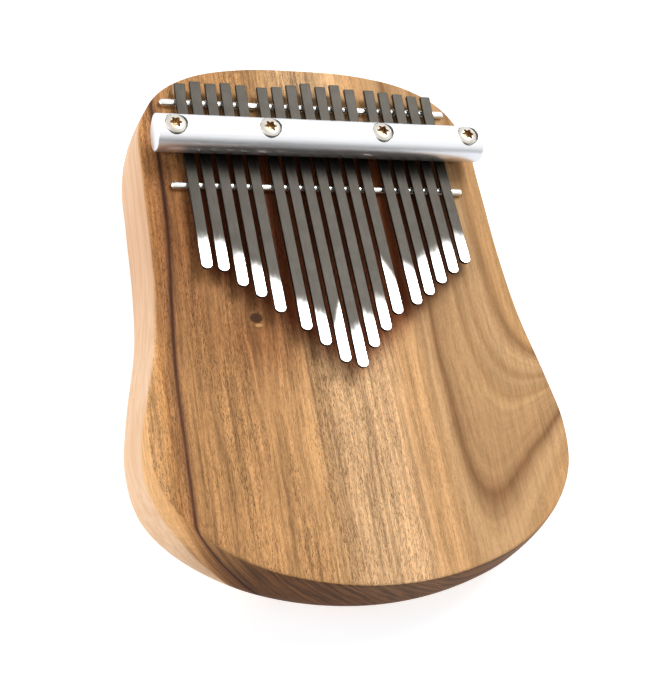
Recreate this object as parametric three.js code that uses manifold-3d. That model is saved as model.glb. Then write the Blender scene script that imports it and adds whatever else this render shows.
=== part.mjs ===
// A seventeen-note mbira: spring-steel tines clamped over two steel bridges on a solid wooden body.
// Millimetres. X runs across the tines, +Y runs from the player's thumbs towards the clamp,
// and +Z points out of the playing face. The origin is on the flat back, under the middle of the body.

import * as THREE from 'three';
import { mergeVertices } from 'three/addons/utils/BufferGeometryUtils.js';
import Module from 'manifold-3d';

const wasm = await Module();
wasm.setup();

const gap = 0.3; // working clearance between pieces that touch on the real instrument

const body = {
  thickness: 34,
  // Right half of the outline, from the middle of the clamp end to the middle of the thumb end.
  halfOutline: [
    [0, 93.2],
    [22, 92.2],
    [40, 87.8],
    [52, 79.6],
    [58.6, 66],
    [59.6, 46],
    [60.1, 20],
    [62, -4],
    [66.2, -27],
    [68.4, -44],
    [66, -59.5],
    [57, -73.2],
    [42, -84],
    [22, -90.8],
    [0, -93.2],
  ],
  outlineSegments: 104,
  faceRound: 0.8, // rounding where the walls meet the playing face
  backRoundUpper: 2, // rounding of the back edge beside the clamp
  backRoundHip: 10, // rounding of the back edge at the wide hips
  backRoundEnd: 16, // rounding of the back edge at the thumb end, where the palm lies
  bulgeUpper: 2, // how far the side walls swell at mid thickness beside the clamp
  bulgeHip: 3.6, // how far they swell at the hips
  hipStart: 20, // the upper wall form ends here and blends towards the hip form
  hipFull: -40, // the hip form is complete from here on
};

const tine = {
  width: 3.7,
  thickness: 1.2,
  pitch: 5.3,
  groupSizes: [5, 7, 5],
  groupGap: 2.1, // extra space between two groups, where a screw passes
  lift: 2.6, // underside of a tine above the face, where it crosses a bridge
  dip: 0.3, // how far the bar bends each tine down between the bridges
  riseAngle: 0.045, // radians that each free blade climbs towards its tip
  tailRise: 0.06, // climb of the tail behind the rear bridge, per millimetre
  tipSegments: 10,
  shankStations: 14,
  // Free length in front of the front bridge, from the left tine to the right one.
  reach: [33, 34, 39.5, 43.5, 49, 55.5, 61, 67, 69, 62, 56, 50, 46.5, 43, 38.5, 34.5, 30.5],
  // Length of the tail behind the rear bridge, in the same order.
  tail: [6, 7, 6.5, 7, 6.5, 6, 6.5, 7.5, 8.5, 7.5, 8.5, 7, 7, 6.5, 6, 5.5, 5.5],
};

const bridge = {
  radius: 1.3,
  length: 103,
  centreLift: 1, // axis above the face; the rest of the rod lies in its groove
  frontY: 43.2,
  rearY: 75.8,
  segments: 16,
};

const bar = {
  radius: 6.1,
  length: 113.6,
  y: 57.3,
  endChamfer: 0.4,
  segments: 48,
};

const screw = {
  acrossX: [-50.9, -19.6, 19.6, 50.9],
  headRadius: 3.6,
  headRim: 1,
  headHeight: 2.3,
  shankRadius: 1.6,
  pointLength: 4,
  depthInBody: 19,
  pocketRadius: 3.9,
  recessRadius: 1.75, // middle radius of the six-lobed driver recess
  recessLobe: 0.3, // how far its lobes swing either side of that
  recessDepth: 1.5,
  segments: 24,
};

const face = body.thickness;
const barAxis = face + tine.lift - tine.dip + tine.thickness + gap + bar.radius;
const barTop = barAxis + bar.radius;
const headSeat = barTop + 0.1 - screw.headHeight;
const screwHole = screw.shankRadius + gap;
const split = gap; // a blade starts this far in front of the end of its shank
const shankFront = -gap; // the shank ends this far in front of the bridge axis
const lobeCount = 6;

const finish = {
  walnut: { color: 0xb98a5c, roughness: 0.5, metalness: 0 },
  aluminium: { color: 0xe6e8ea, roughness: 0.3, metalness: 1 },
  polishedSteel: { color: 0xeceae6, roughness: 0.12, metalness: 1 },
  screwSteel: { color: 0xc9c3b8, roughness: 0.25, metalness: 1 },
  tineSteel: { color: 0x5f5c58, roughness: 0.38, metalness: 0.9 },
};

function toSolid(geometry) {
  const bare = new THREE.BufferGeometry();
  bare.setAttribute('position', geometry.getAttribute('position'));
  bare.setIndex(geometry.getIndex());
  const merged = mergeVertices(bare);
  const vertProperties = new Float32Array(merged.getAttribute('position').array);
  const triVerts = new Uint32Array(merged.getIndex().array);
  return new wasm.Manifold(new wasm.Mesh({ numProp: 3, vertProperties, triVerts }));
}

function toGeometry(solid) {
  const { vertProperties, triVerts } = solid.getMesh();
  const geometry = new THREE.BufferGeometry();
  geometry.setAttribute('position', new THREE.BufferAttribute(vertProperties, 3));
  geometry.setIndex(new THREE.BufferAttribute(triVerts, 1));
  geometry.computeVertexNormals();
  return geometry;
}

function cut(geometry, cutters) {
  let solid = toSolid(geometry);
  for (const cutter of cutters) {
    solid = solid.subtract(toSolid(cutter));
  }
  return toGeometry(solid);
}

function named(name, geometry, look) {
  const mesh = new THREE.Mesh(geometry, new THREE.MeshStandardMaterial(look));
  mesh.name = name;
  return mesh;
}

// A cylinder whose axis runs along X.
function crossCylinder(radius, length, segments) {
  return new THREE.CylinderGeometry(radius, radius, length, segments).rotateZ(Math.PI / 2);
}

// A cylinder that stands along Z, from one height to another.
function standingCylinder(radius, low, high, segments) {
  const geometry = new THREE.CylinderGeometry(radius, radius, high - low, segments);
  return geometry.rotateX(Math.PI / 2).translate(0, 0, (low + high) / 2);
}

// Points of the body's outline with the outward direction at each one.
function bodyOutline() {
  const right = body.halfOutline.map(([x, y]) => new THREE.Vector3(x, y, 0));
  const left = right.slice(1, -1).reverse().map((p) => new THREE.Vector3(-p.x, p.y, 0));
  const curve = new THREE.CatmullRomCurve3([...right, ...left], true, 'centripetal');
  const stations = [];
  for (let i = 0; i < body.outlineSegments; i += 1) {
    const u = i / body.outlineSegments;
    const point = curve.getPointAt(u);
    const along = curve.getTangentAt(u);
    stations.push({ point, outward: new THREE.Vector2(-along.y, along.x) });
  }
  return stations;
}

// Wall section at one outline station, as [offset outwards, height] pairs from the back to the face.
function wallSection({ point, outward }) {
  const hip = THREE.MathUtils.smoothstep(body.hipStart - point.y, 0, body.hipStart - body.hipFull);
  const thumbEnd = THREE.MathUtils.smoothstep(-outward.y, 0.3, 0.9);
  const sideRound = THREE.MathUtils.lerp(body.backRoundUpper, body.backRoundHip, hip);
  const backRound = THREE.MathUtils.lerp(sideRound, body.backRoundEnd, thumbEnd);
  const bulge = THREE.MathUtils.lerp(body.bulgeUpper, body.bulgeHip, hip) * outward.x ** 2;
  const section = [];
  const add = (offset, height) => {
    section.push([offset + bulge * Math.sin((Math.PI * height) / body.thickness), height]);
  };
  for (const turn of [0, 0.25, 0.5, 0.75, 1]) {
    const angle = (turn * Math.PI) / 2;
    add(-backRound * (1 - Math.sin(angle)), backRound * (1 - Math.cos(angle)));
  }
  for (const part of [0.3, 0.65]) {
    add(0, THREE.MathUtils.lerp(backRound, face - body.faceRound, part));
  }
  for (const turn of [0, 0.5, 1]) {
    const angle = (turn * Math.PI) / 2;
    add(-body.faceRound * (1 - Math.cos(angle)), face - body.faceRound * (1 - Math.sin(angle)));
  }
  return section;
}

// The body is a loft of its wall sections, closed by a flat back and a flat face.
function bodyBlock() {
  const stations = bodyOutline();
  const sections = stations.map(wallSection);
  const rows = sections[0].length;
  const count = stations.length;
  const positions = [];
  for (let row = 0; row < rows; row += 1) {
    stations.forEach(({ point, outward }, i) => {
      const [offset, height] = sections[i][row];
      positions.push(point.x + outward.x * offset, point.y + outward.y * offset, height);
    });
  }
  const indices = [];
  for (let row = 0; row < rows - 1; row += 1) {
    for (let i = 0; i < count; i += 1) {
      const a = row * count + i;
      const b = row * count + ((i + 1) % count);
      indices.push(a, a + count, b, b, a + count, b + count);
    }
  }
  const ringAt = (row) => {
    return stations.map((station, i) => {
      const at = 3 * (row * count + i);
      return new THREE.Vector2(positions[at], positions[at + 1]);
    });
  };
  const last = (rows - 1) * count;
  for (const [a, b, c] of THREE.ShapeUtils.triangulateShape(ringAt(0), [])) {
    indices.push(a, c, b);
  }
  for (const [a, b, c] of THREE.ShapeUtils.triangulateShape(ringAt(rows - 1), [])) {
    indices.push(last + a, last + b, last + c);
  }
  const geometry = new THREE.BufferGeometry();
  geometry.setAttribute('position', new THREE.Float32BufferAttribute(positions, 3));
  geometry.setIndex(indices);
  return geometry;
}

function woodenBody() {
  const cutters = [bridge.frontY, bridge.rearY].map((y) => {
    const groove = crossCylinder(bridge.radius + gap, bridge.length + 2 * gap, bridge.segments);
    return groove.translate(0, y, face + bridge.centreLift);
  });
  for (const x of screw.acrossX) {
    const hole = standingCylinder(screwHole, face - screw.depthInBody - gap, face + 1, bridge.segments);
    cutters.push(hole.translate(x, bar.y, 0));
  }
  return named('wooden_body', cut(bodyBlock(), cutters), finish.walnut);
}

// A bridge is a rod with hemispherical ends, lying across the face in its groove.
function bridgeRod(name, y) {
  const cylinderHalf = bridge.length / 2 - bridge.radius;
  const profile = [];
  const quarterSteps = 4;
  for (let i = 0; i <= quarterSteps; i += 1) {
    const angle = (i / quarterSteps) * (Math.PI / 2);
    const out = bridge.radius * Math.sin(angle);
    profile.push(new THREE.Vector2(out, -cylinderHalf - bridge.radius * Math.cos(angle)));
  }
  for (let i = 0; i <= quarterSteps; i += 1) {
    const angle = (i / quarterSteps) * (Math.PI / 2);
    const out = bridge.radius * Math.cos(angle);
    profile.push(new THREE.Vector2(out, cylinderHalf + bridge.radius * Math.sin(angle)));
  }
  profile[0].x = 0;
  profile[profile.length - 1].x = 0;
  const geometry = new THREE.LatheGeometry(profile, bridge.segments).rotateZ(Math.PI / 2);
  const rod = named(name, geometry, finish.polishedSteel);
  rod.position.set(0, y, face + bridge.centreLift);
  return rod;
}

function pressureBar() {
  const half = bar.length / 2;
  const profile = [
    new THREE.Vector2(0, -half),
    new THREE.Vector2(bar.radius - bar.endChamfer, -half),
    new THREE.Vector2(bar.radius, -half + bar.endChamfer),
    new THREE.Vector2(bar.radius, half - bar.endChamfer),
    new THREE.Vector2(bar.radius - bar.endChamfer, half),
    new THREE.Vector2(0, half),
  ];
  const round = new THREE.LatheGeometry(profile, bar.segments).rotateZ(Math.PI / 2);
  const seat = headSeat - gap - barAxis;
  const cutters = [];
  for (const x of screw.acrossX) {
    cutters.push(standingCylinder(screw.pocketRadius, seat, bar.radius + 1, screw.segments).translate(x, 0, 0));
    cutters.push(standingCylinder(screwHole, -bar.radius - 1, seat + 1, screw.segments).translate(x, 0, 0));
  }
  const mesh = named('pressure_bar', cut(round, cutters), finish.aluminium);
  mesh.position.set(0, bar.y, barAxis);
  return mesh;
}

// The six-lobed recess in a screw head.
function driverRecess() {
  const outline = new THREE.Shape();
  const steps = lobeCount * 6;
  for (let i = 0; i < steps; i += 1) {
    const angle = (i / steps) * 2 * Math.PI;
    const radius = screw.recessRadius + screw.recessLobe * Math.cos(lobeCount * angle);
    const x = radius * Math.cos(angle);
    const y = radius * Math.sin(angle);
    if (i === 0) {
      outline.moveTo(x, y);
    } else {
      outline.lineTo(x, y);
    }
  }
  const depth = screw.recessDepth + 1;
  const recess = new THREE.ExtrudeGeometry(outline, { depth, bevelEnabled: false });
  return recess.translate(0, 0, screw.headHeight - screw.recessDepth);
}

// A screw stands with the underside of its head at height 0.
function barScrew(name, x) {
  const tip = face - screw.depthInBody - headSeat;
  const profile = [
    new THREE.Vector2(0, tip),
    new THREE.Vector2(0.3, tip + 0.2),
    new THREE.Vector2(screw.shankRadius, tip + screw.pointLength),
    new THREE.Vector2(screw.shankRadius, 0),
    new THREE.Vector2(screw.headRadius, 0),
    new THREE.Vector2(screw.headRadius, screw.headRim),
    new THREE.Vector2(screw.headRadius * 0.9, screw.headHeight * 0.74),
    new THREE.Vector2(screw.headRadius * 0.7, screw.headHeight * 0.92),
    new THREE.Vector2(screw.headRadius * 0.4, screw.headHeight),
    new THREE.Vector2(0, screw.headHeight),
  ];
  const turned = new THREE.LatheGeometry(profile, screw.segments).rotateX(Math.PI / 2);
  const mesh = named(name, cut(turned, [driverRecess()]), finish.screwSteel);
  mesh.position.set(x, bar.y, headSeat);
  return mesh;
}

// Underside of a clamped shank above the face, at a distance behind the front bridge.
function shankCurve(tail) {
  const toBar = bar.y - bridge.frontY;
  const toRear = bridge.rearY - bridge.frontY;
  const { lift, dip } = tine;
  return new THREE.SplineCurve([
    new THREE.Vector2(shankFront, lift - shankFront * tine.riseAngle),
    new THREE.Vector2(toBar * 0.5, lift - dip * 0.75),
    new THREE.Vector2(toBar, lift - dip),
    new THREE.Vector2((toBar + toRear) / 2, lift - dip * 0.6),
    new THREE.Vector2(toRear, lift),
    new THREE.Vector2(toRear + tail, lift + tail * tine.tailRise),
  ]);
}

// The clamped shank runs from the front bridge, under the bar and over the rear bridge.
function tineShank(name, x, tail) {
  const underside = shankCurve(tail).getPoints(tine.shankStations);
  const topside = underside.map((p) => new THREE.Vector2(p.x, p.y + tine.thickness)).reverse();
  const side = new THREE.Shape([...underside, ...topside]);
  const geometry = new THREE.ExtrudeGeometry(side, { depth: tine.width, bevelEnabled: false });
  const across = new THREE.Vector3(1, 0, 0);
  const along = new THREE.Vector3(0, 1, 0);
  const up = new THREE.Vector3(0, 0, 1);
  geometry.translate(0, 0, -tine.width / 2);
  geometry.applyMatrix4(new THREE.Matrix4().makeBasis(along, up, across));
  const mesh = named(name, geometry, finish.tineSteel);
  mesh.position.set(x, bridge.frontY, face);
  return mesh;
}

// The free blade reaches forward from the front bridge and ends in a half-round tip.
function tineBlade(name, x, reach) {
  const half = tine.width / 2;
  const outline = new THREE.Shape();
  outline.moveTo(half, -split);
  outline.lineTo(-half, -split);
  outline.lineTo(-half, -reach + half);
  outline.absarc(0, -reach + half, half, Math.PI, 2 * Math.PI, false);
  outline.lineTo(half, -split);
  const geometry = new THREE.ExtrudeGeometry(outline, {
    depth: tine.thickness,
    bevelEnabled: false,
    curveSegments: tine.tipSegments,
  });
  const mesh = named(name, geometry, finish.tineSteel);
  mesh.rotation.x = -tine.riseAngle;
  const lift = tine.lift - shankFront * tine.riseAngle;
  mesh.position.set(x, bridge.frontY + shankFront, face + lift);
  return mesh;
}

// Centres of the tines across the body, symmetric about its middle.
function tineCentres() {
  const centres = [];
  let x = 0;
  for (const size of tine.groupSizes) {
    for (let i = 0; i < size; i += 1) {
      centres.push(x);
      x += tine.pitch;
    }
    x += tine.groupGap;
  }
  const middle = (centres[0] + centres[centres.length - 1]) / 2;
  return centres.map((centre) => centre - middle);
}

function clamp() {
  const group = new THREE.Group();
  group.add(bridgeRod('front_bridge', bridge.frontY));
  group.add(bridgeRod('rear_bridge', bridge.rearY));
  group.add(pressureBar());
  screw.acrossX.forEach((x, i) => group.add(barScrew(`bar_screw_${i + 1}`, x)));
  return group;
}

function tines() {
  const group = new THREE.Group();
  tineCentres().forEach((x, i) => {
    const number = String(i + 1).padStart(2, '0');
    group.add(tineShank(`tine_${number}_shank`, x, tine.tail[i]));
    group.add(tineBlade(`tine_${number}_blade`, x, tine.reach[i] + shankFront));
  });
  return group;
}

const group = new THREE.Group();
group.add(woodenBody(), clamp(), tines());

export default group;
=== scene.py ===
import math

import bmesh
import bpy
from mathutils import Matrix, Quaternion, Vector


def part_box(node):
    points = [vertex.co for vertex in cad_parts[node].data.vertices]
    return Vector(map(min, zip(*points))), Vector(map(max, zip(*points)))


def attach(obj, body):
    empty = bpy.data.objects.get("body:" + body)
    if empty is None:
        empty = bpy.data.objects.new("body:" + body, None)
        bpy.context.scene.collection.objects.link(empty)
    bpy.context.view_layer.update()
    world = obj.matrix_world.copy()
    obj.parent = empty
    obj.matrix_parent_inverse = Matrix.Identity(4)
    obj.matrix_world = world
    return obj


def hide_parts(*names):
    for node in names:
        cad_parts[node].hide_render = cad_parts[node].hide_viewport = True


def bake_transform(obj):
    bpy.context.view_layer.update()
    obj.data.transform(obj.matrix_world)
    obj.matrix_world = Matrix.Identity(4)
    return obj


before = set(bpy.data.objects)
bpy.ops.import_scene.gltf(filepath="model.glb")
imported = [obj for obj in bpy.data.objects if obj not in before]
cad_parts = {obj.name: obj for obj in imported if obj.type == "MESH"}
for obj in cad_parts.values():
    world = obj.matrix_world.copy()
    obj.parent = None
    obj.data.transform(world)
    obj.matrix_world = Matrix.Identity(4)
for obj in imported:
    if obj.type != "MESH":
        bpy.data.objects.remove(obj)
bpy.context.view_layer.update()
mm = 0.001
face = 34 * mm  # height of the playing face above the flat back
weld = 0.001 * mm  # points closer than this become one
rimAngle = 1.0  # radians; an edge that turns more than this is a rim
screwCount = 4
tineCount = 17


# Camera, floor and light

studio = {
    "cameraPlace": (-152.3, -194.1, 391.5),
    "cameraAim": (-6.0, -15.9, 34.0),
    "cameraRoll": 33.57,
    "lens": 69.8,
    "floorRadius": 4.0,
    "floorSegments": 64,
    "floorRoughness": 0.9,
    "floorTone": (0.76, 0.79, 0.84),
    "floorGlow": 0.36,
    "floorGlowSeen": 0.27,  # added where the camera looks, so that only the contact shadow stays grey
    "skyGlow": 0.5,
    "thumbSideGlow": 0.06,  # the studio is darker on the side that the player sits on
    "thumbSide": ((0.12, -0.98, -0.15), 0.35, 0.95),  # direction, and where the darkening starts and ends
    # shiny metal reflects a white tent that has a dark opening below the camera
    "tentGlow": (1.2, 0.05),
    "tentOpening": ((0, -0.9, -0.43), 0.25, 0.95),
    "backdropTone": 1.0,
    # softboxes: place in metres, width in metres, power in watts
    "softboxes": {
        "key": ((0.55, 0.67, 1.35), 0.8, 16.0),
        "left_fill": ((-1.5, -0.1, 0.55), 1.2, 10.5),
    },
}


def placeCamera():
    place = Vector(studio["cameraPlace"]) * mm
    aim = Vector(studio["cameraAim"]) * mm
    data = bpy.data.cameras.new("camera")
    data.lens = studio["lens"]
    data.clip_start = 0.01
    camera = bpy.data.objects.new("camera", data)
    camera.location = place
    camera.rotation_mode = "QUATERNION"
    roll = Quaternion((0, 0, 1), math.radians(studio["cameraRoll"]))
    camera.rotation_quaternion = (aim - place).to_track_quat("-Z", "Y") @ roll
    bpy.context.scene.collection.objects.link(camera)
    bpy.context.scene.camera = camera


# Small helpers for shader nodes

def feed(tree, socket, value):
    if isinstance(value, bpy.types.NodeSocket):
        tree.links.new(value, socket)
    else:
        socket.default_value = value


def calc(tree, operation, *values, clamp=False):
    node = tree.nodes.new("ShaderNodeMath")
    node.operation = operation
    node.use_clamp = clamp
    for socket, value in zip(node.inputs, values):
        feed(tree, socket, value)
    return node.outputs["Value"]


def vectorCalc(tree, operation, *values):
    node = tree.nodes.new("ShaderNodeVectorMath")
    node.operation = operation
    for socket, value in zip(node.inputs, values):
        feed(tree, socket, value)
    return node.outputs["Value" if operation == "DOT_PRODUCT" else "Vector"]


def step(tree, value, low, high, atLow=0.0, atHigh=1.0):
    node = tree.nodes.new("ShaderNodeMapRange")
    node.interpolation_type = "SMOOTHSTEP"
    feed(tree, node.inputs["Value"], value)
    feed(tree, node.inputs["From Min"], low)
    feed(tree, node.inputs["From Max"], high)
    feed(tree, node.inputs["To Min"], atLow)
    feed(tree, node.inputs["To Max"], atHigh)
    return node.outputs["Result"]


def mixColor(tree, factor, under, over, mode="MIX"):
    node = tree.nodes.new("ShaderNodeMix")
    node.data_type = "RGBA"
    node.blend_type = mode
    # the sockets of a colour mix, among those for numbers and vectors
    for index, value in ((0, factor), (6, under), (7, over)):
        feed(tree, node.inputs[index], value)
    return node.outputs[2]


def noise(tree, vector, scale=1.0, detail=2.0, roughness=0.5, distortion=0.0):
    node = tree.nodes.new("ShaderNodeTexNoise")
    feed(tree, node.inputs["Vector"], vector)
    feed(tree, node.inputs["Scale"], scale)
    node.inputs["Detail"].default_value = detail
    node.inputs["Roughness"].default_value = roughness
    node.inputs["Distortion"].default_value = distortion
    return node.outputs["Fac"]


def product(tree, *values):
    total = values[0]
    for value in values[1:]:
        total = calc(tree, "MULTIPLY", total, value)
    return total


def stretchedNoise(tree, place, stretch, detail=2.0, roughness=0.5):
    # the pattern is long across the small numbers of stretch
    return noise(tree, vectorCalc(tree, "MULTIPLY", place, stretch), 1.0, detail, roughness)


def toVector(tree, x, y, z):
    node = tree.nodes.new("ShaderNodeCombineXYZ")
    feed(tree, node.inputs["X"], x)
    feed(tree, node.inputs["Y"], y)
    feed(tree, node.inputs["Z"], z)
    return node.outputs["Vector"]


def paint(red, green, blue):
    # display colour from 0 to 255, made linear
    values = [channel / 255 for channel in (red, green, blue)]
    linear = [v / 12.92 if v < 0.04045 else ((v + 0.055) / 1.055) ** 2.4 for v in values]
    return (*linear, 1.0)


def blendPaints(tree, factor, first, second):
    return mixColor(tree, factor, paint(*first), paint(*second))


def shade(tree, color, brightness):
    return mixColor(tree, 1.0, color, toVector(tree, brightness, brightness, brightness), "MULTIPLY")


def ramp(tree, factor, stops):
    node = tree.nodes.new("ShaderNodeValToRGB")
    elements = node.color_ramp.elements
    while len(elements) > 1:
        elements.remove(elements[-1])
    elements[0].position, elements[0].color = stops[0]
    for position, color in stops[1:]:
        elements.new(position).color = color
    feed(tree, node.inputs["Fac"], factor)
    return node.outputs["Color"]


def newMaterial(name):
    material = bpy.data.materials.new(name)
    material.use_nodes = True
    tree = material.node_tree
    tree.nodes.clear()
    shader = tree.nodes.new("ShaderNodeBsdfPrincipled")
    output = tree.nodes.new("ShaderNodeOutputMaterial")
    tree.links.new(shader.outputs["BSDF"], output.inputs["Surface"])
    return material, tree, shader


def bumpFrom(tree, shader, height, strength, distance):
    node = tree.nodes.new("ShaderNodeBump")
    node.inputs["Strength"].default_value = strength
    node.inputs["Distance"].default_value = distance
    feed(tree, node.inputs["Height"], height)
    tree.links.new(node.outputs["Normal"], shader.inputs["Normal"])


def objectMillimetres(tree):
    place = tree.nodes.new("ShaderNodeTexCoord").outputs["Object"]
    node = tree.nodes.new("ShaderNodeVectorMath")
    node.operation = "SCALE"
    node.inputs["Scale"].default_value = 1 / mm
    tree.links.new(place, node.inputs["Vector"])
    return node.outputs["Vector"]


def layFloor():
    material, tree, shader = newMaterial("paper_sweep")
    shader.inputs["Base Color"].default_value = (*studio["floorTone"], 1)
    shader.inputs["Roughness"].default_value = studio["floorRoughness"]
    shader.inputs["Specular IOR Level"].default_value = 0.0
    shader.inputs["Emission Color"].default_value = (1, 1, 1, 1)
    seen = tree.nodes.new("ShaderNodeLightPath").outputs["Is Camera Ray"]
    glow = calc(tree, "MULTIPLY_ADD", seen, studio["floorGlowSeen"], studio["floorGlow"])
    tree.links.new(glow, shader.inputs["Emission Strength"])
    bm = bmesh.new()
    segments, radius = studio["floorSegments"], studio["floorRadius"]
    bmesh.ops.create_circle(bm, cap_ends=True, segments=segments, radius=radius)
    mesh = bpy.data.meshes.new("floor")
    bm.to_mesh(mesh)
    bm.free()
    mesh.materials.append(material)
    floor = bpy.data.objects.new("floor", mesh)
    bpy.context.scene.collection.objects.link(floor)


def lightStudio():
    scene = bpy.context.scene
    scene.view_settings.view_transform = "Standard"
    scene.view_settings.look = "None"
    world = bpy.data.worlds.new("studio")
    scene.world = world
    world.use_nodes = True
    tree = world.node_tree
    tree.nodes.clear()
    direction = tree.nodes.new("ShaderNodeTexCoord").outputs["Generated"]
    side, start, end = studio["thumbSide"]
    towardThumbs = vectorCalc(tree, "DOT_PRODUCT", direction, side)
    glow = step(tree, towardThumbs, start, end, studio["skyGlow"], studio["thumbSideGlow"])
    side, start, end = studio["tentOpening"]
    towardOpening = vectorCalc(tree, "DOT_PRODUCT", direction, side)
    tent = step(tree, towardOpening, start, end, *studio["tentGlow"])
    path = tree.nodes.new("ShaderNodeLightPath")
    glow = mixColor(tree, path.outputs["Is Glossy Ray"], glow, tent)
    tone = studio["backdropTone"]
    glow = mixColor(tree, path.outputs["Is Camera Ray"], glow, (tone, tone, tone, 1))
    background = tree.nodes.new("ShaderNodeBackground")
    tree.links.new(glow, background.inputs["Color"])
    output = tree.nodes.new("ShaderNodeOutputWorld")
    tree.links.new(background.outputs["Background"], output.inputs["Surface"])
    for name, (place, size, power) in studio["softboxes"].items():
        light = bpy.data.lights.new(name, "AREA")
        light.energy = power
        light.size = size
        softbox = bpy.data.objects.new(name, light)
        softbox.location = place
        softbox.rotation_mode = "QUATERNION"
        softbox.rotation_quaternion = (-Vector(place)).to_track_quat("-Z", "Y")
        scene.collection.objects.link(softbox)


placeCamera()
layFloor()
lightStudio()
print("stage: camera, floor and light")


# Effects that several finishes share

effects = {
    # noise scale, detail, roughness and share of each layer of polish lines
    "lineLayers": ((1.0, 3.0, 0.65, 0.6), (3.1, 2.0, 0.6, 0.4)),
    "hazeNoise": (4.0, 0.55, 0.4),  # detail, roughness and distortion
    "hazePatches": (0.35, 0.7),
    "lineContrast": (0.2, 0.8),  # the part of the lines' range that changes a roughness or a colour
}


def newGroup(name, inputs, outputs):
    group = bpy.data.node_groups.new(name, "ShaderNodeTree")
    for label, kind, value in inputs:
        socket = group.interface.new_socket(label, in_out="INPUT", socket_type=kind)
        socket.default_value = value
    for label in outputs:
        group.interface.new_socket(label, in_out="OUTPUT", socket_type="NodeSocketFloat")
    return group, group.nodes.new("NodeGroupInput"), group.nodes.new("NodeGroupOutput")


def finePolishLines():
    # hair-thin lines that a belt or a buffing wheel leaves, long across the small numbers of stretch
    inputs = [("Stretch", "NodeSocketVector", (1, 1, 1)), ("Depth", "NodeSocketFloat", 1.0)]
    tree, given, made = newGroup("finePolishLines", inputs, ["Lines"])
    place = vectorCalc(tree, "MULTIPLY", objectMillimetres(tree), given.outputs["Stretch"])
    layers = [
        product(tree, noise(tree, place, scale, detail, roughness), share)
        for scale, detail, roughness, share in effects["lineLayers"]
    ]
    centred = calc(tree, "SUBTRACT", calc(tree, "ADD", *layers), 0.5)
    scaled = calc(tree, "MULTIPLY", centred, given.outputs["Depth"])
    tree.links.new(calc(tree, "ADD", scaled, 0.5), made.inputs["Lines"])
    return tree


def handlingHaze():
    # soft cloudy patches where fingers have dulled a surface
    inputs = [("Scale", "NodeSocketFloat", 0.1), ("Depth", "NodeSocketFloat", 1.0)]
    tree, given, made = newGroup("handlingHaze", inputs, ["Haze"])
    cloud = noise(tree, objectMillimetres(tree), given.outputs["Scale"], *effects["hazeNoise"])
    patches = step(tree, cloud, *effects["hazePatches"])
    tree.links.new(calc(tree, "MULTIPLY", patches, given.outputs["Depth"]), made.inputs["Haze"])
    return tree


polishLines = finePolishLines()
haze = handlingHaze()


def linesIn(tree, stretch):
    node = tree.nodes.new("ShaderNodeGroup")
    node.node_tree = polishLines
    node.inputs["Stretch"].default_value = stretch
    return node.outputs["Lines"]


def hazeIn(tree, scale):
    node = tree.nodes.new("ShaderNodeGroup")
    node.node_tree = haze
    node.inputs["Scale"].default_value = scale
    return node.outputs["Haze"]


# Shared steps for making a piece

def addPiece(name, bm, material, replaced, sharpAngle=35):
    bmesh.ops.recalc_face_normals(bm, faces=bm.faces)
    for polygon in bm.faces:
        polygon.smooth = True
    mesh = bpy.data.meshes.new(name)
    bm.to_mesh(mesh)
    bm.free()
    mesh.set_sharp_from_angle(angle=math.radians(sharpAngle))
    mesh.materials.append(material)
    piece = bpy.data.objects.new(name, mesh)
    bpy.context.scene.collection.objects.link(piece)
    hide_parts(*replaced)
    return piece


def cutAway(piece, bm, sharpAngle=35):
    # takes the closed shapes in bm out of the piece
    bmesh.ops.recalc_face_normals(bm, faces=bm.faces)
    mesh = bpy.data.meshes.new("cutter")
    bm.to_mesh(mesh)
    bm.free()
    cutter = bpy.data.objects.new("cutter", mesh)
    bpy.context.scene.collection.objects.link(cutter)
    modifier = piece.modifiers.new("cut", "BOOLEAN")
    modifier.operation = "DIFFERENCE"
    modifier.solver = "EXACT"
    modifier.object = cutter
    depsgraph = bpy.context.evaluated_depsgraph_get()
    result = bpy.data.meshes.new_from_object(piece.evaluated_get(depsgraph))
    piece.modifiers.clear()
    result.name = piece.name
    piece.data = result
    bpy.data.objects.remove(cutter)
    for polygon in result.polygons:
        polygon.use_smooth = True
    result.set_sharp_from_angle(angle=math.radians(sharpAngle))


def roundRims(bm, radius):
    rims = [edge for edge in bm.edges if edge.is_manifold and edge.calc_face_angle() > rimAngle]
    bmesh.ops.bevel(
        bm, geom=rims, offset=radius, offset_type="OFFSET", segments=3,
        profile=0.5, affect="EDGES", material=-1,
    )


def evenShading(piece):
    modifier = piece.modifiers.new("even shading", "WEIGHTED_NORMAL")
    modifier.keep_sharp = True


def softEdges(piece, width):
    modifier = piece.modifiers.new("soft edges", "BEVEL")
    modifier.width = width
    modifier.segments = 2
    modifier.limit_method = "ANGLE"
    modifier.angle_limit = math.radians(35)
    modifier.harden_normals = True


def turned(bm, profile, centre, axis, segments):
    # turns a profile of (distance from the axis, place along it) into a closed round shape
    axis = Vector(axis)
    side = axis.orthogonal().normalized()
    corners = [bm.verts.new(centre + side * out + axis * along) for out, along in profile]
    edges = [bm.edges.new(pair) for pair in zip(corners, corners[1:])]
    bmesh.ops.spin(
        bm, geom=corners + edges, cent=centre, axis=axis, angle=2 * math.pi,
        steps=segments, use_merge=True, use_duplicate=False,
    )
    bmesh.ops.remove_doubles(bm, verts=bm.verts, dist=weld)


def quarterTurn(steps):
    # angles from 0 to a right angle
    return [i / steps * math.pi / 2 for i in range(steps + 1)]


# Walnut

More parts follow.
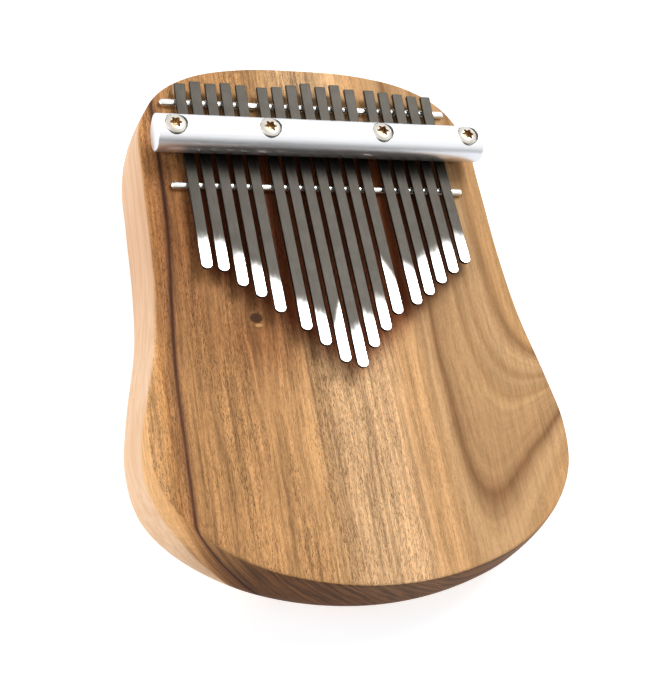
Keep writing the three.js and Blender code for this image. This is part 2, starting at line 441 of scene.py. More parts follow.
# Places and lengths are in millimetres. A fade is (from, to) or (from, to, value at from, value at to).
walnutLook = {
    "roughness": 0.62,
    "hazeScale": 0.03,
    "hazeRoughness": 0.06,
    "poreRoughness": 0.2,
    "specular": 0.12,
    "bumpStrength": 0.5,
    "poreBump": 0.05,
    "fibreBump": 0.25,
    "upwardFade": (0.2, 0.8),  # from the walls to the face, by how far a surface looks up

    # growth rings
    "ringTilt": 1.0,  # the rings lean this far sideways for each millimetre of depth
    # how the grain wanders: stretch of the noise, and how far it moves the rings
    "wanders": (((0.03, 0.009, 0.03), 5.0), ((0.16, 0.035, 0.16), 1.6)),
    "wanderFade": (-58.0, -30.0, 0.15, 1.0),
    "waistDrift": 3.8,  # the grain follows the waist on the upper left
    "waistAcross": (0.0, -57.0),
    "waistAlong": (-31.0, 40.0),
    "archFocus": (84.0, -24.0),  # beyond the right edge, where the arches would meet
    "archStart": 48.4,  # ring level with the focus
    "archTurn": 23.3,  # rings passed for each radian round the focus
    "archSoftness": (-60.0, -25.0, 18.0, 30.0),  # how round the lowest and the highest arches are

    # sapwood, by the ring where it starts
    "sapStart": -62.5,
    "sapHip": (-55.0, 24.0, -13.0),  # at the hip it starts further out: middle, spread, distance
    "sapTop": (0.0, 40.0, 0.0, -2.0),
    "sapFade": (-0.6, 1.6),
    "sapStretch": (0.5, 0.02, 0.5),
    "sapStreaks": (0.35, 0.65),
    "sapColors": ((231, 189, 150), (240, 203, 168)),

    # tone along the grain: stretch, detail and roughness of the noise, and the fade of brightness
    "streaks": ((0.30, 0.009, 0.03), 5.0, 0.66, (0.38, 0.62, -0.22, 0.16)),
    "fibres": ((1.25, 0.05, 1.25), 3.0, 0.62, (0.36, 0.64, -0.2, 0.2)),
    "flecks": ((1.0, 0.24, 1.0), 2.0, 0.5, (0.36, 0.64, -0.06, 0.06)),
    "toneInSapwood": 0.2,
    "toneAcross": (-2.0, 34.0, 1.0, 0.5),
    "toneOnWalls": 0.4,

    # pores
    "poreLayers": ((1.1, 0.075, 0.36), (1.6, 0.15, 0.34)),  # cells across and along, size of a dash
    "poreCore": 0.6,  # share of a dash that is fully dark
    "crowdStretch": (0.16, 0.02, 0.16),
    "crowdFade": (0.34, 0.6, 0.5, 1.0),
    "poresAcross": (-2.0, 32.0, 1.0, 0.3),
    "poresInSapwood": 0.12,
    "poresOnWalls": 0.12,
    "poreStrength": 0.95,
    "poreColor": (84, 50, 28),

    # darker heartwood and painted shadow of the tines and bar, beside and below the tines: middle, spread,
    # strength
    "patches": (((-28.0, -11.0), (17.0, 14.0), 0.6), ((-50.0, 28.0), (12.0, 38.0), 0.6)),
    "woodAndShadowColor": (172, 124, 90),

    # painted shade on the wood that the tines shade
    "shadeSlope": 0.84,  # the lower edge follows the tips: rise for each millimetre from the middle
    "shadeMiddle": -26.0,
    "shadeEdge": (-5.0, 8.0),
    "shadeTop": (70.0, 60.0),
    "shadeSides": (50.0, 42.0),
    "shadeStrength": 0.95,
    "shadeColor": (152, 98, 74),

    # the knot
    "knotPlace": (-29.8, -4.6),
    "knotReach": (5.0, 11.0),  # how far round it the grain parts
    "knotParting": 0.7,
    "knotDepth": (9.0, 3.0),
    # smoky wood, pale lip and dark plug: offset, spread, fade, strength, colour
    "knotParts": (
        ((-2.0, 6.0), (6.0, 8.0), None, 0.35, (120, 80, 50)),
        ((0.6, -2.6), (1.6, 0.8), (0.35, 0.8), 1.0, (206, 152, 98)),
        ((0.0, 0.0), (2.3, 2.0), (0.30, 0.62), 0.9, (66, 40, 26)),
    ),

    # end grain, darker from the oil it drinks and from painted shade
    "endFade": (0.6, 0.95),
    "endInSapwood": 0.35,
    "endRings": ((0.5, 0.06, 1.0), 4.0, 0.6, (0.36, 0.64, -0.4, 0.5)),
    "endAndShadeStrength": 0.95,
    "endAndShadeColor": (116, 96, 78),
}

# colours across the face, by ring coordinate in millimetres
walnutBands = [
    (-76, (243, 189, 132)),
    (-66, (239, 181, 121)),
    (-62.0, (204, 147, 90)),
    (-61.0, (170, 118, 72)),
    (-60.4, (196, 142, 90)),
    (-58.4, (166, 116, 74)),
    (-57.9, (78, 48, 36)),
    (-57.3, (84, 52, 38)),
    (-56.7, (172, 124, 80)),
    (-55.4, (190, 140, 90)),
    (-46.0, (199, 148, 96)),
    (-27.0, (199, 149, 98)),
    (-18.0, (204, 156, 105)),
    (-8.0, (218, 174, 127)),
    (3.0, (230, 185, 136)),
    (9.0, (238, 190, 140)),
    (17.0, (228, 176, 121)),
    (22.0, (220, 170, 118)),
    (24.5, (202, 156, 107)),
    (27.0, (206, 163, 116)),
    (29.2, (178, 136, 93)),
    (30.1, (142, 101, 64)),
    (31.6, (186, 143, 98)),
    (38.7, (199, 156, 109)),
    (40.1, (176, 134, 90)),
    (41.3, (190, 148, 102)),
    (43.0, (199, 158, 112)),
    (44.5, (176, 134, 90)),
    (46.3, (202, 160, 113)),
    (49.0, (212, 168, 120)),
    (52.5, (164, 122, 80)),
    (56.0, (204, 157, 106)),
]


def bell(tree, place, centre, spread):
    # a soft patch, 1 in its middle
    parts = []
    for value, middle, reach in zip(place, centre, spread):
        offset = calc(tree, "DIVIDE", calc(tree, "SUBTRACT", value, middle), reach)
        parts.append(calc(tree, "POWER", offset, 2.0))
    total = calc(tree, "ADD", *parts)
    return calc(tree, "EXPONENT", calc(tree, "MULTIPLY", total, -1.0))


def grainFigure(tree, place, rawX, y, depth):
    # returns the distance across the grain, and the growth ring, at each point of the block
    wanders = [
        calc(tree, "MULTIPLY_ADD", stretchedNoise(tree, place, stretch), reach, -reach / 2)
        for stretch, reach in walnutLook["wanders"]
    ]
    wander = product(tree, calc(tree, "ADD", *wanders), step(tree, rawX, *walnutLook["wanderFade"]))
    x = calc(tree, "ADD", rawX, wander)
    knotX = walnutLook["knotPlace"][0]
    nearKnot = bell(tree, (rawX, y), walnutLook["knotPlace"], walnutLook["knotReach"])
    parting = product(tree, calc(tree, "SUBTRACT", rawX, knotX), nearKnot, walnutLook["knotParting"])
    x = calc(tree, "SUBTRACT", x, parting)

    # on the left the grain follows the waist, and on the lower right it closes into arches
    leftShare = step(tree, rawX, *walnutLook["waistAcross"])
    upperShare = step(tree, y, *walnutLook["waistAlong"])
    straight = calc(tree, "SUBTRACT", x, product(tree, leftShare, upperShare, walnutLook["waistDrift"]))
    focusX, focusY = walnutLook["archFocus"]
    turn = calc(tree, "ARCTAN2", calc(tree, "SUBTRACT", y, focusY), calc(tree, "SUBTRACT", focusX, x))
    arch = calc(tree, "MULTIPLY_ADD", turn, walnutLook["archTurn"], walnutLook["archStart"])
    figure = calc(tree, "SMOOTH_MIN", straight, arch, step(tree, y, *walnutLook["archSoftness"]))
    return x, calc(tree, "SUBTRACT", figure, product(tree, depth, walnutLook["ringTilt"]))


def bandColor(tree, ring):
    firstBand, lastBand = walnutBands[0][0], walnutBands[-1][0]
    bandRange = lastBand - firstBand
    stops = [((at - firstBand) / bandRange, paint(*color)) for at, color in walnutBands]
    return ramp(tree, calc(tree, "DIVIDE", calc(tree, "SUBTRACT", ring, firstBand), bandRange), stops)


def sapwoodShare(tree, y, ring):
    hipMiddle, hipSpread, hipReach = walnutLook["sapHip"]
    fromHip = calc(tree, "DIVIDE", calc(tree, "SUBTRACT", y, hipMiddle), hipSpread)
    hipSwell = calc(tree, "EXPONENT", calc(tree, "MULTIPLY", calc(tree, "POWER", fromHip, 2.0), -1.0))
    edge = calc(tree, "MULTIPLY_ADD", hipSwell, hipReach, walnutLook["sapStart"])
    edge = calc(tree, "ADD", edge, step(tree, y, *walnutLook["sapTop"]))
    return step(tree, calc(tree, "SUBTRACT", edge, ring), *walnutLook["sapFade"])


def poreDashes(tree, grain):
    # open pores: short dark dashes along the grain, dots on end grain
    layers = []
    for across, along, size in walnutLook["poreLayers"]:
        cells = tree.nodes.new("ShaderNodeTexVoronoi")
        cells.feature = "F1"
        porePlace = vectorCalc(tree, "MULTIPLY", grain, (across, along, across))
        tree.links.new(porePlace, cells.inputs["Vector"])
        layers.append(step(tree, cells.outputs["Distance"], size, size * walnutLook["poreCore"]))
    return calc(tree, "MAXIMUM", *layers)


def walnutMaterial():
    material, tree, shader = newMaterial("walnut")
    place = objectMillimetres(tree)
    parts = tree.nodes.new("ShaderNodeSeparateXYZ")
    tree.links.new(place, parts.inputs["Vector"])
    rawX, y, z = parts.outputs["X"], parts.outputs["Y"], parts.outputs["Z"]
    depth = calc(tree, "SUBTRACT", face / mm, z)
    normal = tree.nodes.new("ShaderNodeTexCoord").outputs["Normal"]
    upward = vectorCalc(tree, "DOT_PRODUCT", normal, (0, 0, 1))
    towardEnd = calc(tree, "ABSOLUTE", vectorCalc(tree, "DOT_PRODUCT", normal, (0, 1, 0)))
    x, ring = grainFigure(tree, place, rawX, y, depth)
    grain = toVector(tree, x, y, z)

    # broad bands of heartwood colour, and pale sapwood under the left edge
    sapwood = sapwoodShare(tree, y, ring)
    sapStreaks = stretchedNoise(tree, place, walnutLook["sapStretch"], 3.0, 0.6)
    sapStreaks = step(tree, sapStreaks, *walnutLook["sapStreaks"])
    sapColor = blendPaints(tree, sapStreaks, *walnutLook["sapColors"])
    color = mixColor(tree, sapwood, bandColor(tree, ring), sapColor)

    # streaks, fibres and flecks along the grain
    stretch, detail, noiseRoughness, streakFade = walnutLook["streaks"]
    streaks = stretchedNoise(tree, toVector(tree, ring, y, z), stretch, detail, noiseRoughness)
    stretch, detail, noiseRoughness, fibreFade = walnutLook["fibres"]
    fibres = stretchedNoise(tree, grain, stretch, detail, noiseRoughness)
    stretch, detail, noiseRoughness, fleckFade = walnutLook["flecks"]
    flecks = stretchedNoise(tree, place, stretch, detail, noiseRoughness)
    tone = calc(tree, "ADD", step(tree, streaks, *streakFade), step(tree, fibres, *fibreFade))
    tone = calc(tree, "ADD", tone, step(tree, flecks, *fleckFade))
    toneDepth = product(
        tree,
        step(tree, sapwood, 0.0, 1.0, 1.0, walnutLook["toneInSapwood"]),
        step(tree, rawX, *walnutLook["toneAcross"]),
        step(tree, upward, *walnutLook["upwardFade"], walnutLook["toneOnWalls"], 1.0),
    )
    color = shade(tree, color, calc(tree, "MULTIPLY_ADD", tone, toneDepth, 1.0))

    crowd = stretchedNoise(tree, place, walnutLook["crowdStretch"])
    pores = product(
        tree,
        poreDashes(tree, grain),
        step(tree, crowd, *walnutLook["crowdFade"]),
        step(tree, rawX, *walnutLook["poresAcross"]),
        step(tree, sapwood, 0.0, 1.0, 1.0, walnutLook["poresInSapwood"]),
        step(tree, upward, *walnutLook["upwardFade"], walnutLook["poresOnWalls"], 1.0),
    )
    poreShare = product(tree, pores, walnutLook["poreStrength"])
    color = mixColor(tree, poreShare, color, paint(*walnutLook["poreColor"]))

    # painted shadow of the tines and bar, laid over darker heartwood
    for centre, spread, strength in walnutLook["patches"]:
        patch = product(tree, bell(tree, (rawX, y), centre, spread), strength)
        color = mixColor(tree, patch, color, paint(*walnutLook["woodAndShadowColor"]), "MULTIPLY")

    # painted shade: the wood that the tines shade is painted redder and darker
    fromMiddle = calc(tree, "ABSOLUTE", rawX)
    tipLine = calc(tree, "MULTIPLY_ADD", fromMiddle, walnutLook["shadeSlope"], walnutLook["shadeMiddle"])
    shaded = product(
        tree,
        step(tree, calc(tree, "SUBTRACT", y, tipLine), *walnutLook["shadeEdge"]),
        step(tree, y, *walnutLook["shadeTop"]),
        step(tree, fromMiddle, *walnutLook["shadeSides"]),
        walnutLook["shadeStrength"],
    )
    color = mixColor(tree, shaded, color, paint(*walnutLook["shadeColor"]), "MULTIPLY")

    # the knot, a dark plug with smoky wood round it and a pale lip below it
    knotX, knotY = walnutLook["knotPlace"]
    nearFace = step(tree, depth, *walnutLook["knotDepth"])
    for (offsetX, offsetY), spread, fade, strength, tint in walnutLook["knotParts"]:
        part = bell(tree, (rawX, y), (knotX + offsetX, knotY + offsetY), spread)
        if fade:
            part = step(tree, part, *fade)
        color = mixColor(tree, product(tree, part, strength, nearFace), color, paint(*tint))

    # end grain drinks the oil and looks darker; the darkening also holds painted shade on the end walls
    inSapwood = step(tree, sapwood, 0.0, 1.0, 1.0, walnutLook["endInSapwood"])
    endGrainAndShade = product(tree, step(tree, towardEnd, *walnutLook["endFade"]), inSapwood)
    stretch, detail, noiseRoughness, endFade = walnutLook["endRings"]
    endRings = stretchedNoise(tree, toVector(tree, ring, z, 0.0), stretch, detail, noiseRoughness)
    color = shade(tree, color, calc(tree, "MULTIPLY_ADD", step(tree, endRings, *endFade), endGrainAndShade, 1.0))
    endShare = product(tree, endGrainAndShade, walnutLook["endAndShadeStrength"])
    color = mixColor(tree, endShare, color, paint(*walnutLook["endAndShadeColor"]), "MULTIPLY")

    tree.links.new(color, shader.inputs["Base Color"])
    cloud = hazeIn(tree, walnutLook["hazeScale"])
    dulled = calc(tree, "MULTIPLY_ADD", cloud, walnutLook["hazeRoughness"], walnutLook["roughness"])
    roughness = calc(tree, "MULTIPLY_ADD", pores, walnutLook["poreRoughness"], dulled)
    tree.links.new(roughness, shader.inputs["Roughness"])
    shader.inputs["Specular IOR Level"].default_value = walnutLook["specular"]
    height = calc(tree, "SUBTRACT", product(tree, fibres, walnutLook["fibreBump"]), pores)
    bumpFrom(tree, shader, height, walnutLook["bumpStrength"], walnutLook["poreBump"] * mm)
    return material


# Wooden body

block = {
    "halfOutline": [
        (0, 93.2), (22, 92.2), (40, 87.8), (52, 79.6), (58.6, 66), (59.6, 46), (60.1, 20), (62, -4),
        (66.2, -27), (68.4, -44), (66, -59.5), (57, -73.2), (42, -84), (22, -90.8), (0, -93.2),
    ],
    "stepsPerSpan": 8,
    "backSteps": 8,
    "wallSteps": 6,
    "faceSteps": 4,
    "faceRound": 0.8,
    "backRoundUpper": 2,
    "backRoundHip": 10,
    "backRoundEnd": 16,
    "bulgeUpper": 2,
    "bulgeHip": 3.6,
    "hipStart": 20,
    "hipFull": -40,
    "thumbEnd": (0.3, 0.9),  # from the sides to the thumb end, by how far the wall looks that way
    "grooveClearance": 0.05,
    "grooveRoom": 0.3,
    "grooveSegments": 48,
    "pilotRadius": 1.65,
    "pilotSegments": 32,
    "sharpAngle": 50,
}


def smooth(value, low, high):
    part = min(max((value - low) / (high - low), 0), 1)
    return part * part * (3 - 2 * part)


def lerp(low, high, part):
    return low + (high - low) * part


def curvePoint(before, start, end, after, part):
    # a point between start and end on a centripetal curve through all four
    knots = [0.0]
    for a, b in ((before, start), (start, end), (end, after)):
        knots.append(knots[-1] + math.sqrt((b - a).length))
    at = lerp(knots[1], knots[2], part)

    def between(a, b, low, high):
        return a.lerp(b, (at - knots[low]) / (knots[high] - knots[low]))

    first = between(before, start, 0, 1)
    second = between(start, end, 1, 2)
    third = between(end, after, 2, 3)
    return between(between(first, second, 0, 2), between(second, third, 1, 3), 1, 2)


def blockStations():
    # points of the outline with the outward direction at each one
    right = [Vector((x, y, 0)) for x, y in block["halfOutline"]]
    left = [Vector((-point.x, point.y, 0)) for point in reversed(right[1:-1])]
    loop = right + left
    steps = block["stepsPerSpan"]
    points = []
    for i in range(len(loop)):
        corners = [loop[(i + k) % len(loop)] for k in (-1, 0, 1, 2)]
        points += [curvePoint(*corners, k / steps) for k in range(steps)]
    stations = []
    for i, point in enumerate(points):
        along = points[(i + 1) % len(points)] - points[i - 1]
        stations.append((point, Vector((-along.y, along.x, 0)).normalized()))
    return stations


def wallSection(point, outward):
    # [distance outwards, height] from the back to the face
    thickness = face / mm
    hip = smooth(block["hipStart"] - point.y, 0, block["hipStart"] - block["hipFull"])
    thumbEnd = smooth(-outward.y, *block["thumbEnd"])
    sideRound = lerp(block["backRoundUpper"], block["backRoundHip"], hip)
    backRound = lerp(sideRound, block["backRoundEnd"], thumbEnd)
    bulge = lerp(block["bulgeUpper"], block["bulgeHip"], hip) * outward.x ** 2
    faceRound = block["faceRound"]
    wallSteps = block["wallSteps"]
    section = []
    for a in quarterTurn(block["backSteps"]):
        section.append((-backRound * (1 - math.sin(a)), backRound * (1 - math.cos(a))))
    for i in range(1, wallSteps):
        section.append((0, lerp(backRound, thickness - faceRound, i / wallSteps)))
    for a in quarterTurn(block["faceSteps"]):
        section.append((-faceRound * (1 - math.cos(a)), thickness - faceRound * (1 - math.sin(a))))
    return [(out + bulge * math.sin(math.pi * height / thickness), height) for out, height in section]


def makeBlock(material):
    stations = blockStations()
    sections = [wallSection(point, outward) for point, outward in stations]
    bm = bmesh.new()
    stationLayer = bm.verts.layers.int.new("station")
    ring = bmesh.ops.create_circle(bm, cap_ends=True, segments=len(stations), radius=1)["verts"]
    for i, vert in enumerate(ring):
        vert[stationLayer] = i
    edges = list(bm.edges)
    for level in range(len(sections[0])):
        if level:
            grown = bmesh.ops.extrude_edge_only(bm, edges=edges)["geom"]
            ring = [item for item in grown if isinstance(item, bmesh.types.BMVert)]
            ringSet = set(ring)
            edges = [
                item for item in grown
                if isinstance(item, bmesh.types.BMEdge) and set(item.verts) <= ringSet
            ]
        for vert in ring:
            point, outward = stations[vert[stationLayer]]
            out, height = sections[vert[stationLayer]][level]
            vert.co = (point + outward * out + Vector((0, 0, height))) * mm
    bmesh.ops.contextual_create(bm, geom=edges)
    sharpAngle = block["sharpAngle"]
    piece = addPiece("walnut_block", bm, material, ["wooden_body"], sharpAngle)
    cutters = bmesh.new()
    for node in ("front_bridge", "rear_bridge"):
        low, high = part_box(node)
        centre = (low + high) / 2
        radius = (high.z - low.z) / 2 + block["grooveClearance"] * mm
        half = (high.x - low.x) / 2 + block["grooveRoom"] * mm
        profile = [(0, -half), (radius, -half), (radius, half), (0, half)]
        turned(cutters, profile, centre, (1, 0, 0), block["grooveSegments"])
    for number in range(1, screwCount + 1):
        low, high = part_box(f"bar_screw_{number}")
        centre = Vector(((low.x + high.x) / 2, (low.y + high.y) / 2, 0))
        radius = block["pilotRadius"] * mm
        bottom, top = low.z - block["grooveRoom"] * mm, face + mm
        profile = [(0, bottom), (radius, bottom), (radius, top), (0, top)]
        turned(cutters, profile, centre, (0, 0, 1), block["pilotSegments"])
    cutAway(piece, cutters, sharpAngle)
    evenShading(piece)
    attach(piece, "instrument")


# Pressure bar

barLook = {
    "segments": 144,
    "endRound": 0.45,
    "pocketSegments": 72,
    "pocketRadius": 3.9,
    "holeRadius": 1.9,
    "rimRound": 0.12,
    "floorClearance": 0.05,
    "headHeight": 2.3,
    "lineStretch": (0.05, 2.6, 2.6),
    "lineContrast": (0.3, 0.7),
    "colors": ((226, 228, 231), (240, 241, 243)),
    "roughness": 0.28,
    "lineRoughness": 0.08,
    "hazeRoughness": 0.05,
    "hazeScale": 0.06,
    "bump": (0.15, 0.02),  # strength, and depth in millimetres
}


def barMaterial():
    material, tree, shader = newMaterial("satin_aluminium")
    lines = linesIn(tree, barLook["lineStretch"])
    cloud = hazeIn(tree, barLook["hazeScale"])
    color = blendPaints(tree, step(tree, lines, *barLook["lineContrast"]), *barLook["colors"])
    tree.links.new(color, shader.inputs["Base Color"])
    dulled = calc(tree, "MULTIPLY_ADD", cloud, barLook["hazeRoughness"], barLook["roughness"])
    roughness = calc(tree, "MULTIPLY_ADD", lines, barLook["lineRoughness"], dulled)
    tree.links.new(roughness, shader.inputs["Roughness"])
    shader.inputs["Metallic"].default_value = 1.0
    strength, depth = barLook["bump"]
    bumpFrom(tree, shader, lines, strength, depth * mm)
    return material


def makeBar(material):
    low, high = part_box("pressure_bar")
    centre = (low + high) / 2
    radius, half = (high.y - low.y) / 2, (high.x - low.x) / 2
    centre.z = low.z + radius
    bm = bmesh.new()
    profile = [(0, -half), (radius, -half), (radius, half), (0, half)]
    turned(bm, profile, centre, (1, 0, 0), barLook["segments"])
    roundRims(bm, barLook["endRound"] * mm)
    piece = addPiece("clamp_bar", bm, material, ["pressure_bar"])
    cutters = bmesh.new()
    pocket, hole = barLook["pocketRadius"] * mm, barLook["holeRadius"] * mm
    for number in range(1, screwCount + 1):
        screwLow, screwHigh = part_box(f"bar_screw_{number}")
        axis = Vector(((screwLow.x + screwHigh.x) / 2, centre.y, 0))
        seat = screwHigh.z - (barLook["headHeight"] + barLook["floorClearance"]) * mm
        top, bottom = high.z + mm, low.z - mm
        profile = [(0, bottom), (hole, bottom), (hole, seat), (pocket, seat), (pocket, top), (0, top)]
        turned(cutters, profile, axis, (0, 0, 1), barLook["pocketSegments"])
    cutAway(piece, cutters)
    softEdges(piece, barLook["rimRound"] * mm)
    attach(piece, "instrument")


# Bridges

rodLook = {
    "segments": 48,
    "domeSteps": 8,
    "lineStretch": (0.08, 3.0, 3.0),
    "hazeScale": 0.12,
    "colors": ((236, 234, 230), (222, 219, 214)),
    "roughness": (0.2, 0.3),
    "bump": (0.1, 0.01),  # strength, and depth in millimetres
}


def steelMaterial(name, look):
    # bare steel with fine lines; the second colour is where fingers have dulled it
    material, tree, shader = newMaterial(name)
    lines = linesIn(tree, look["lineStretch"])
    color = blendPaints(tree, hazeIn(tree, look["hazeScale"]), *look["colors"])
    tree.links.new(color, shader.inputs["Base Color"])
    roughness = step(tree, lines, *effects["lineContrast"], *look["roughness"])
    tree.links.new(roughness, shader.inputs["Roughness"])
    shader.inputs["Metallic"].default_value = 1.0
    if "bump" in look:
        strength, depth = look["bump"]
        bumpFrom(tree, shader, lines, strength, depth * mm)
    return material


def makeRod(name, node, material):
    low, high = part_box(node)
    centre = (low + high) / 2
    radius = (high.z - low.z) / 2
    straight = (high.x - low.x) / 2 - radius
    dome = quarterTurn(rodLook["domeSteps"])
    profile = [(radius * math.sin(a), -straight - radius * math.cos(a)) for a in dome]
    profile += [(radius * math.cos(a), straight + radius * math.sin(a)) for a in dome]
    bm = bmesh.new()
    turned(bm, profile, centre, (1, 0, 0), rodLook["segments"])
    piece = addPiece(name, bm, material, [node])
    evenShading(piece)
    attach(piece, "instrument")


# Screws

screwLook = {
    "headRadius": 3.6,
    "headRim": 1.0,
    "headHeight": 2.3,
    "shankRadius": 1.6,
    "pointLength": 4.0,
    "domeSteps": 10,
    "domePower": 0.9,  # below 1 makes the head flatter on top
    "recessRadius": 1.72,
    "recessLobe": 0.34,
    "recessDepth": 1.9,
    "lobes": 6,
    "recessSegments": 96,
    "recessRim": 0.2,  # below the top of the head by this much, a face belongs to the recess
    "segments": 72,
    "edgeRound": 0.08,
    "lineStretch": (0.7, 0.7, 0.7),
    "hazeScale": 0.22,
    "colors": ((214, 209, 200), (194, 187, 176)),
    "roughness": (0.2, 0.3),
    # painted shade inside the driver recess: haze, colours and roughness
    "recessHazeScale": 0.9,
    "recessShadeColors": ((196, 166, 124), (124, 102, 76)),
    "recessRoughness": (0.25, 0.4),
}


def recessShadeMaterial():
    # painted shade: the surface inside the driver recess is darker and bronze-coloured
    material, tree, shader = newMaterial("recess_painted_shade")
    cloud = hazeIn(tree, screwLook["recessHazeScale"])
    color = blendPaints(tree, cloud, *screwLook["recessShadeColors"])
    tree.links.new(color, shader.inputs["Base Color"])
    roughness = step(tree, cloud, 0.0, 1.0, *screwLook["recessRoughness"])
    tree.links.new(roughness, shader.inputs["Roughness"])
    shader.inputs["Metallic"].default_value = 1.0
    return material


def makeScrew(number, material, recessShadeFinish):
    low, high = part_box(f"bar_screw_{number}")
    radius, rim, height = (screwLook[key] * mm for key in ("headRadius", "headRim", "headHeight"))
    shank = screwLook["shankRadius"] * mm
    seat = Vector(((low.x + high.x) / 2, (low.y + high.y) / 2, high.z - height))
    tip = low.z - seat.z
    profile = [(0, tip), (shank, tip + screwLook["pointLength"] * mm), (shank, 0), (radius, 0)]
    for a in quarterTurn(screwLook["domeSteps"]):
        profile.append((radius * math.cos(a), rim + (height - rim) * math.sin(a) ** screwLook["domePower"]))
    bm = bmesh.new()
    turned(bm, profile, seat, (0, 0, 1), screwLook["segments"])
    piece = addPiece(f"clamp_screw_{number}", bm, material, [f"bar_screw_{number}"])
    recess = bmesh.new()
    segments = screwLook["recessSegments"]
    outline = bmesh.ops.create_circle(recess, cap_ends=True, segments=segments, radius=1)["verts"]
    top = seat.z + height + mm
    for vert in outline:
        angle = math.atan2(vert.co.y, vert.co.x)
        reach = screwLook["recessRadius"] + screwLook["recessLobe"] * math.cos(screwLook["lobes"] * angle)
        vert.co = Vector((seat.x, seat.y, top)) + Vector((math.cos(angle), math.sin(angle), 0)) * reach * mm
    grown = bmesh.ops.extrude_face_region(recess, geom=list(recess.faces))["geom"]
    lower = [item for item in grown if isinstance(item, bmesh.types.BMVert)]
    bmesh.ops.translate(recess, verts=lower, vec=(0, 0, -screwLook["recessDepth"] * mm - mm))
    cutAway(piece, recess)
    # painted shade: faces inside the driver recess take the darker recess material
    piece.data.materials.append(recessShadeFinish)
    widest = (screwLook["recessRadius"] + screwLook["recessLobe"]) * mm
    for polygon in piece.data.polygons:
        fromAxis = Vector((polygon.center.x - seat.x, polygon.center.y - seat.y)).length
        if fromAxis < widest and seat.z < polygon.center.z < high.z - screwLook["recessRim"] * mm:
            polygon.material_index = 1
    softEdges(piece, screwLook["edgeRound"] * mm)
    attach(piece, "instrument")


# Tines

tineLook = {
    "width": 3.7,
    "thickness": 1.2,
    "lift": 2.6,
    "dip": 0.3,
    "rise": 0.045,
    "tailRise": 0.06,
    "rearBend": 1.32,
    "edgeRound": 0.22,
    "tipSteps": 20,
    "cutStep": 1.6,
    "sharpAngle": 50,
    "bendShare": 0.5,
    "lineStretch": (3.2, 0.07, 3.2),
    "darkColors": ((42, 40, 37), (70, 67, 62)),
    "hazeScale": 0.16,
    "hazeStrength": 0.4,
    "hazeColor": (46, 43, 38),
    "brightColor": (244, 243, 241),
    "darkRoughness": (0.32, 0.46),
    "brightRoughness": (0.12, 0.2),
    "bump": (0.18, 0.02),  # strength, and depth in millimetres
    "polishFade": (6.0, -4.0),
    "polishPower": 4.0,
    "polishRagged": ((0.9, 0.3, 0.9), 3.0, 3.0),  # stretch and detail of the noise, and its reach
    "upwardFade": (0.3, 0.85),  # only faces that look up are bright; the sides of the tip are kept dark as painted shade
    # bright length at each tip, and how far its edge slants across the blade
    "polish": [11.5, 11, 12, 11.5, 12, 10.5, 11.5, 17, 14, 12, 11.5, 17, 14.5, 14.5, 12.5, 12, 11],
    "slant": [0, 0.2, 0, 0.3, 0.2, 0, 0.3, -2.6, -0.6, 0.4, 0.3, 2.4, 0.8, -0.8, -0.4, 0, 0.2],
}


def tineMaterial():
    material, tree, shader = newMaterial("tine_steel")
    pastPolish = tree.nodes.new("ShaderNodeAttribute")
    pastPolish.attribute_name = "pastPolish"
    lines = linesIn(tree, tineLook["lineStretch"])
    contrast = effects["lineContrast"]

    # the ground tip: its edge is ragged, and its sides are kept dark as painted shade, so it is bright only
    # on top
    stretch, detail, reach = tineLook["polishRagged"]
    ragged = stretchedNoise(tree, objectMillimetres(tree), stretch, detail)
    edge = calc(tree, "MULTIPLY_ADD", ragged, reach, -reach / 2)
    edge = calc(tree, "ADD", pastPolish.outputs["Fac"], edge)
    ground = calc(tree, "POWER", step(tree, edge, *tineLook["polishFade"]), tineLook["polishPower"])
    normal = tree.nodes.new("ShaderNodeTexCoord").outputs["Normal"]
    upward = vectorCalc(tree, "DOT_PRODUCT", normal, (0, 0, 1))
    # painted shade on the sides of the tip
    ground = product(tree, ground, step(tree, upward, *tineLook["upwardFade"]))
    dark = calc(tree, "SUBTRACT", 1.0, ground)

    steel = blendPaints(tree, step(tree, lines, *contrast), *tineLook["darkColors"])
    cloud = product(tree, hazeIn(tree, tineLook["hazeScale"]), tineLook["hazeStrength"])
    steel = mixColor(tree, cloud, steel, paint(*tineLook["hazeColor"]))
    color = mixColor(tree, dark, paint(*tineLook["brightColor"]), steel)
    tree.links.new(color, shader.inputs["Base Color"])
    darkRoughness = step(tree, lines, *contrast, *tineLook["darkRoughness"])
    brightRoughness = step(tree, lines, *contrast, *tineLook["brightRoughness"])
    difference = calc(tree, "SUBTRACT", darkRoughness, brightRoughness)
    roughness = calc(tree, "MULTIPLY_ADD", difference, dark, brightRoughness)
    tree.links.new(roughness, shader.inputs["Roughness"])
    shader.inputs["Metallic"].default_value = 1.0
    strength, depth = tineLook["bump"]
    bumpFrom(tree, shader, lines, strength, depth * mm)
    return material


def tineUnderside(behind, barPlace, rearPlace):
    # height of the underside above the face; the three distances run from the front bridge to the tail
    lift, dip = tineLook["lift"], tineLook["dip"]
    if behind < 0:
        return lift - behind * tineLook["rise"]
    if behind < barPlace:
        return lift - dip * (1 - (1 - behind / barPlace) ** 2)
    if behind < rearPlace:
        return lift - dip * (1 - ((behind - barPlace) / (rearPlace - barPlace)) ** tineLook["rearBend"])
    return lift + (behind - rearPlace) * tineLook["tailRise"]


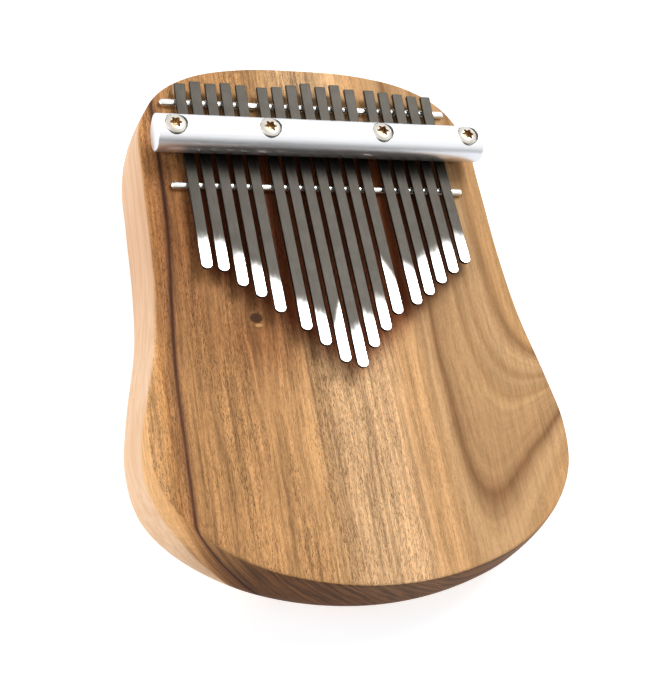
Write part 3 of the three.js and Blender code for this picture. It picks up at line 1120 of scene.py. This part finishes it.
def makeTine(number, material):
    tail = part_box(f"tine_{number:02d}_shank")[1].y
    bladeLow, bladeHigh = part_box(f"tine_{number:02d}_blade")
    middle = (bladeLow.x + bladeHigh.x) / 2
    half = tineLook["width"] * mm / 2
    tipCentre = Vector((middle, bladeLow.y + half, 0))
    bm = bmesh.new()
    start = bm.verts.new(tipCentre - Vector((half, 0, 0)))
    bmesh.ops.spin(
        bm, geom=[start], cent=tipCentre, axis=(0, 0, 1), angle=math.pi, steps=tineLook["tipSteps"],
    )
    for x in (-half, half):
        bm.verts.new((middle + x, tail, 0))
    bm.verts.ensure_lookup_table()
    arcLeft = min(bm.verts[:-2], key=lambda vert: vert.co.x)
    arcRight = max(bm.verts[:-2], key=lambda vert: vert.co.x)
    tailLeft, tailRight = bm.verts[-2], bm.verts[-1]
    for pair in ((arcLeft, tailLeft), (tailLeft, tailRight), (tailRight, arcRight)):
        bm.edges.new(pair)
    bmesh.ops.contextual_create(bm, geom=list(bm.edges))
    cutStep = tineLook["cutStep"] * mm
    cut = tipCentre.y
    while cut < tail - cutStep / 2:
        geom = list(bm.verts) + list(bm.edges) + list(bm.faces)
        bmesh.ops.bisect_plane(bm, geom=geom, dist=weld, plane_co=(0, cut, 0), plane_no=(0, 1, 0))
        cut += cutStep
    grown = bmesh.ops.extrude_face_region(bm, geom=list(bm.faces))["geom"]
    upper = [item for item in grown if isinstance(item, bmesh.types.BMVert)]
    bmesh.ops.translate(bm, verts=upper, vec=(0, 0, tineLook["thickness"] * mm))
    bmesh.ops.recalc_face_normals(bm, faces=bm.faces)
    roundRims(bm, tineLook["edgeRound"] * mm)
    crossed = ("front_bridge", "pressure_bar", "rear_bridge")
    bridge, bar, rear = (sum(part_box(node), Vector()) / 2 for node in crossed)
    barPlace, rearPlace = (bar.y - bridge.y) / mm, (rear.y - bridge.y) / mm
    pastPolish = bm.verts.layers.float.new("pastPolish")
    slant = tineLook["slant"][number - 1]
    for vert in bm.verts:
        fromTip = (vert.co.y - bladeLow.y) / mm
        across = (vert.co.x - middle) / mm
        vert[pastPolish] = fromTip - tineLook["polish"][number - 1] + slant * across
        vert.co.z += face + tineUnderside((vert.co.y - bridge.y) / mm, barPlace, rearPlace) * mm
    replaced = [f"tine_{number:02d}_shank", f"tine_{number:02d}_blade"]
    piece = addPiece(f"tine_{number:02d}", bm, material, replaced, tineLook["sharpAngle"])
    evenShading(piece)
    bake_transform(piece)


makeBlock(walnutMaterial())
print("stage: wooden body")
makeBar(barMaterial())
print("stage: pressure bar")
rodSteel = steelMaterial("polished_steel", rodLook)
makeRod("front_rod", "front_bridge", rodSteel)
makeRod("rear_rod", "rear_bridge", rodSteel)
print("stage: bridges")
screwSteel = steelMaterial("screw_steel", screwLook)
recessShadeSteel = recessShadeMaterial()
for number in range(1, screwCount + 1):
    makeScrew(number, screwSteel, recessShadeSteel)
print("stage: screws")
tineSteel = tineMaterial()
for number in range(1, tineCount + 1):
    makeTine(number, tineSteel)
print("stage: tines")
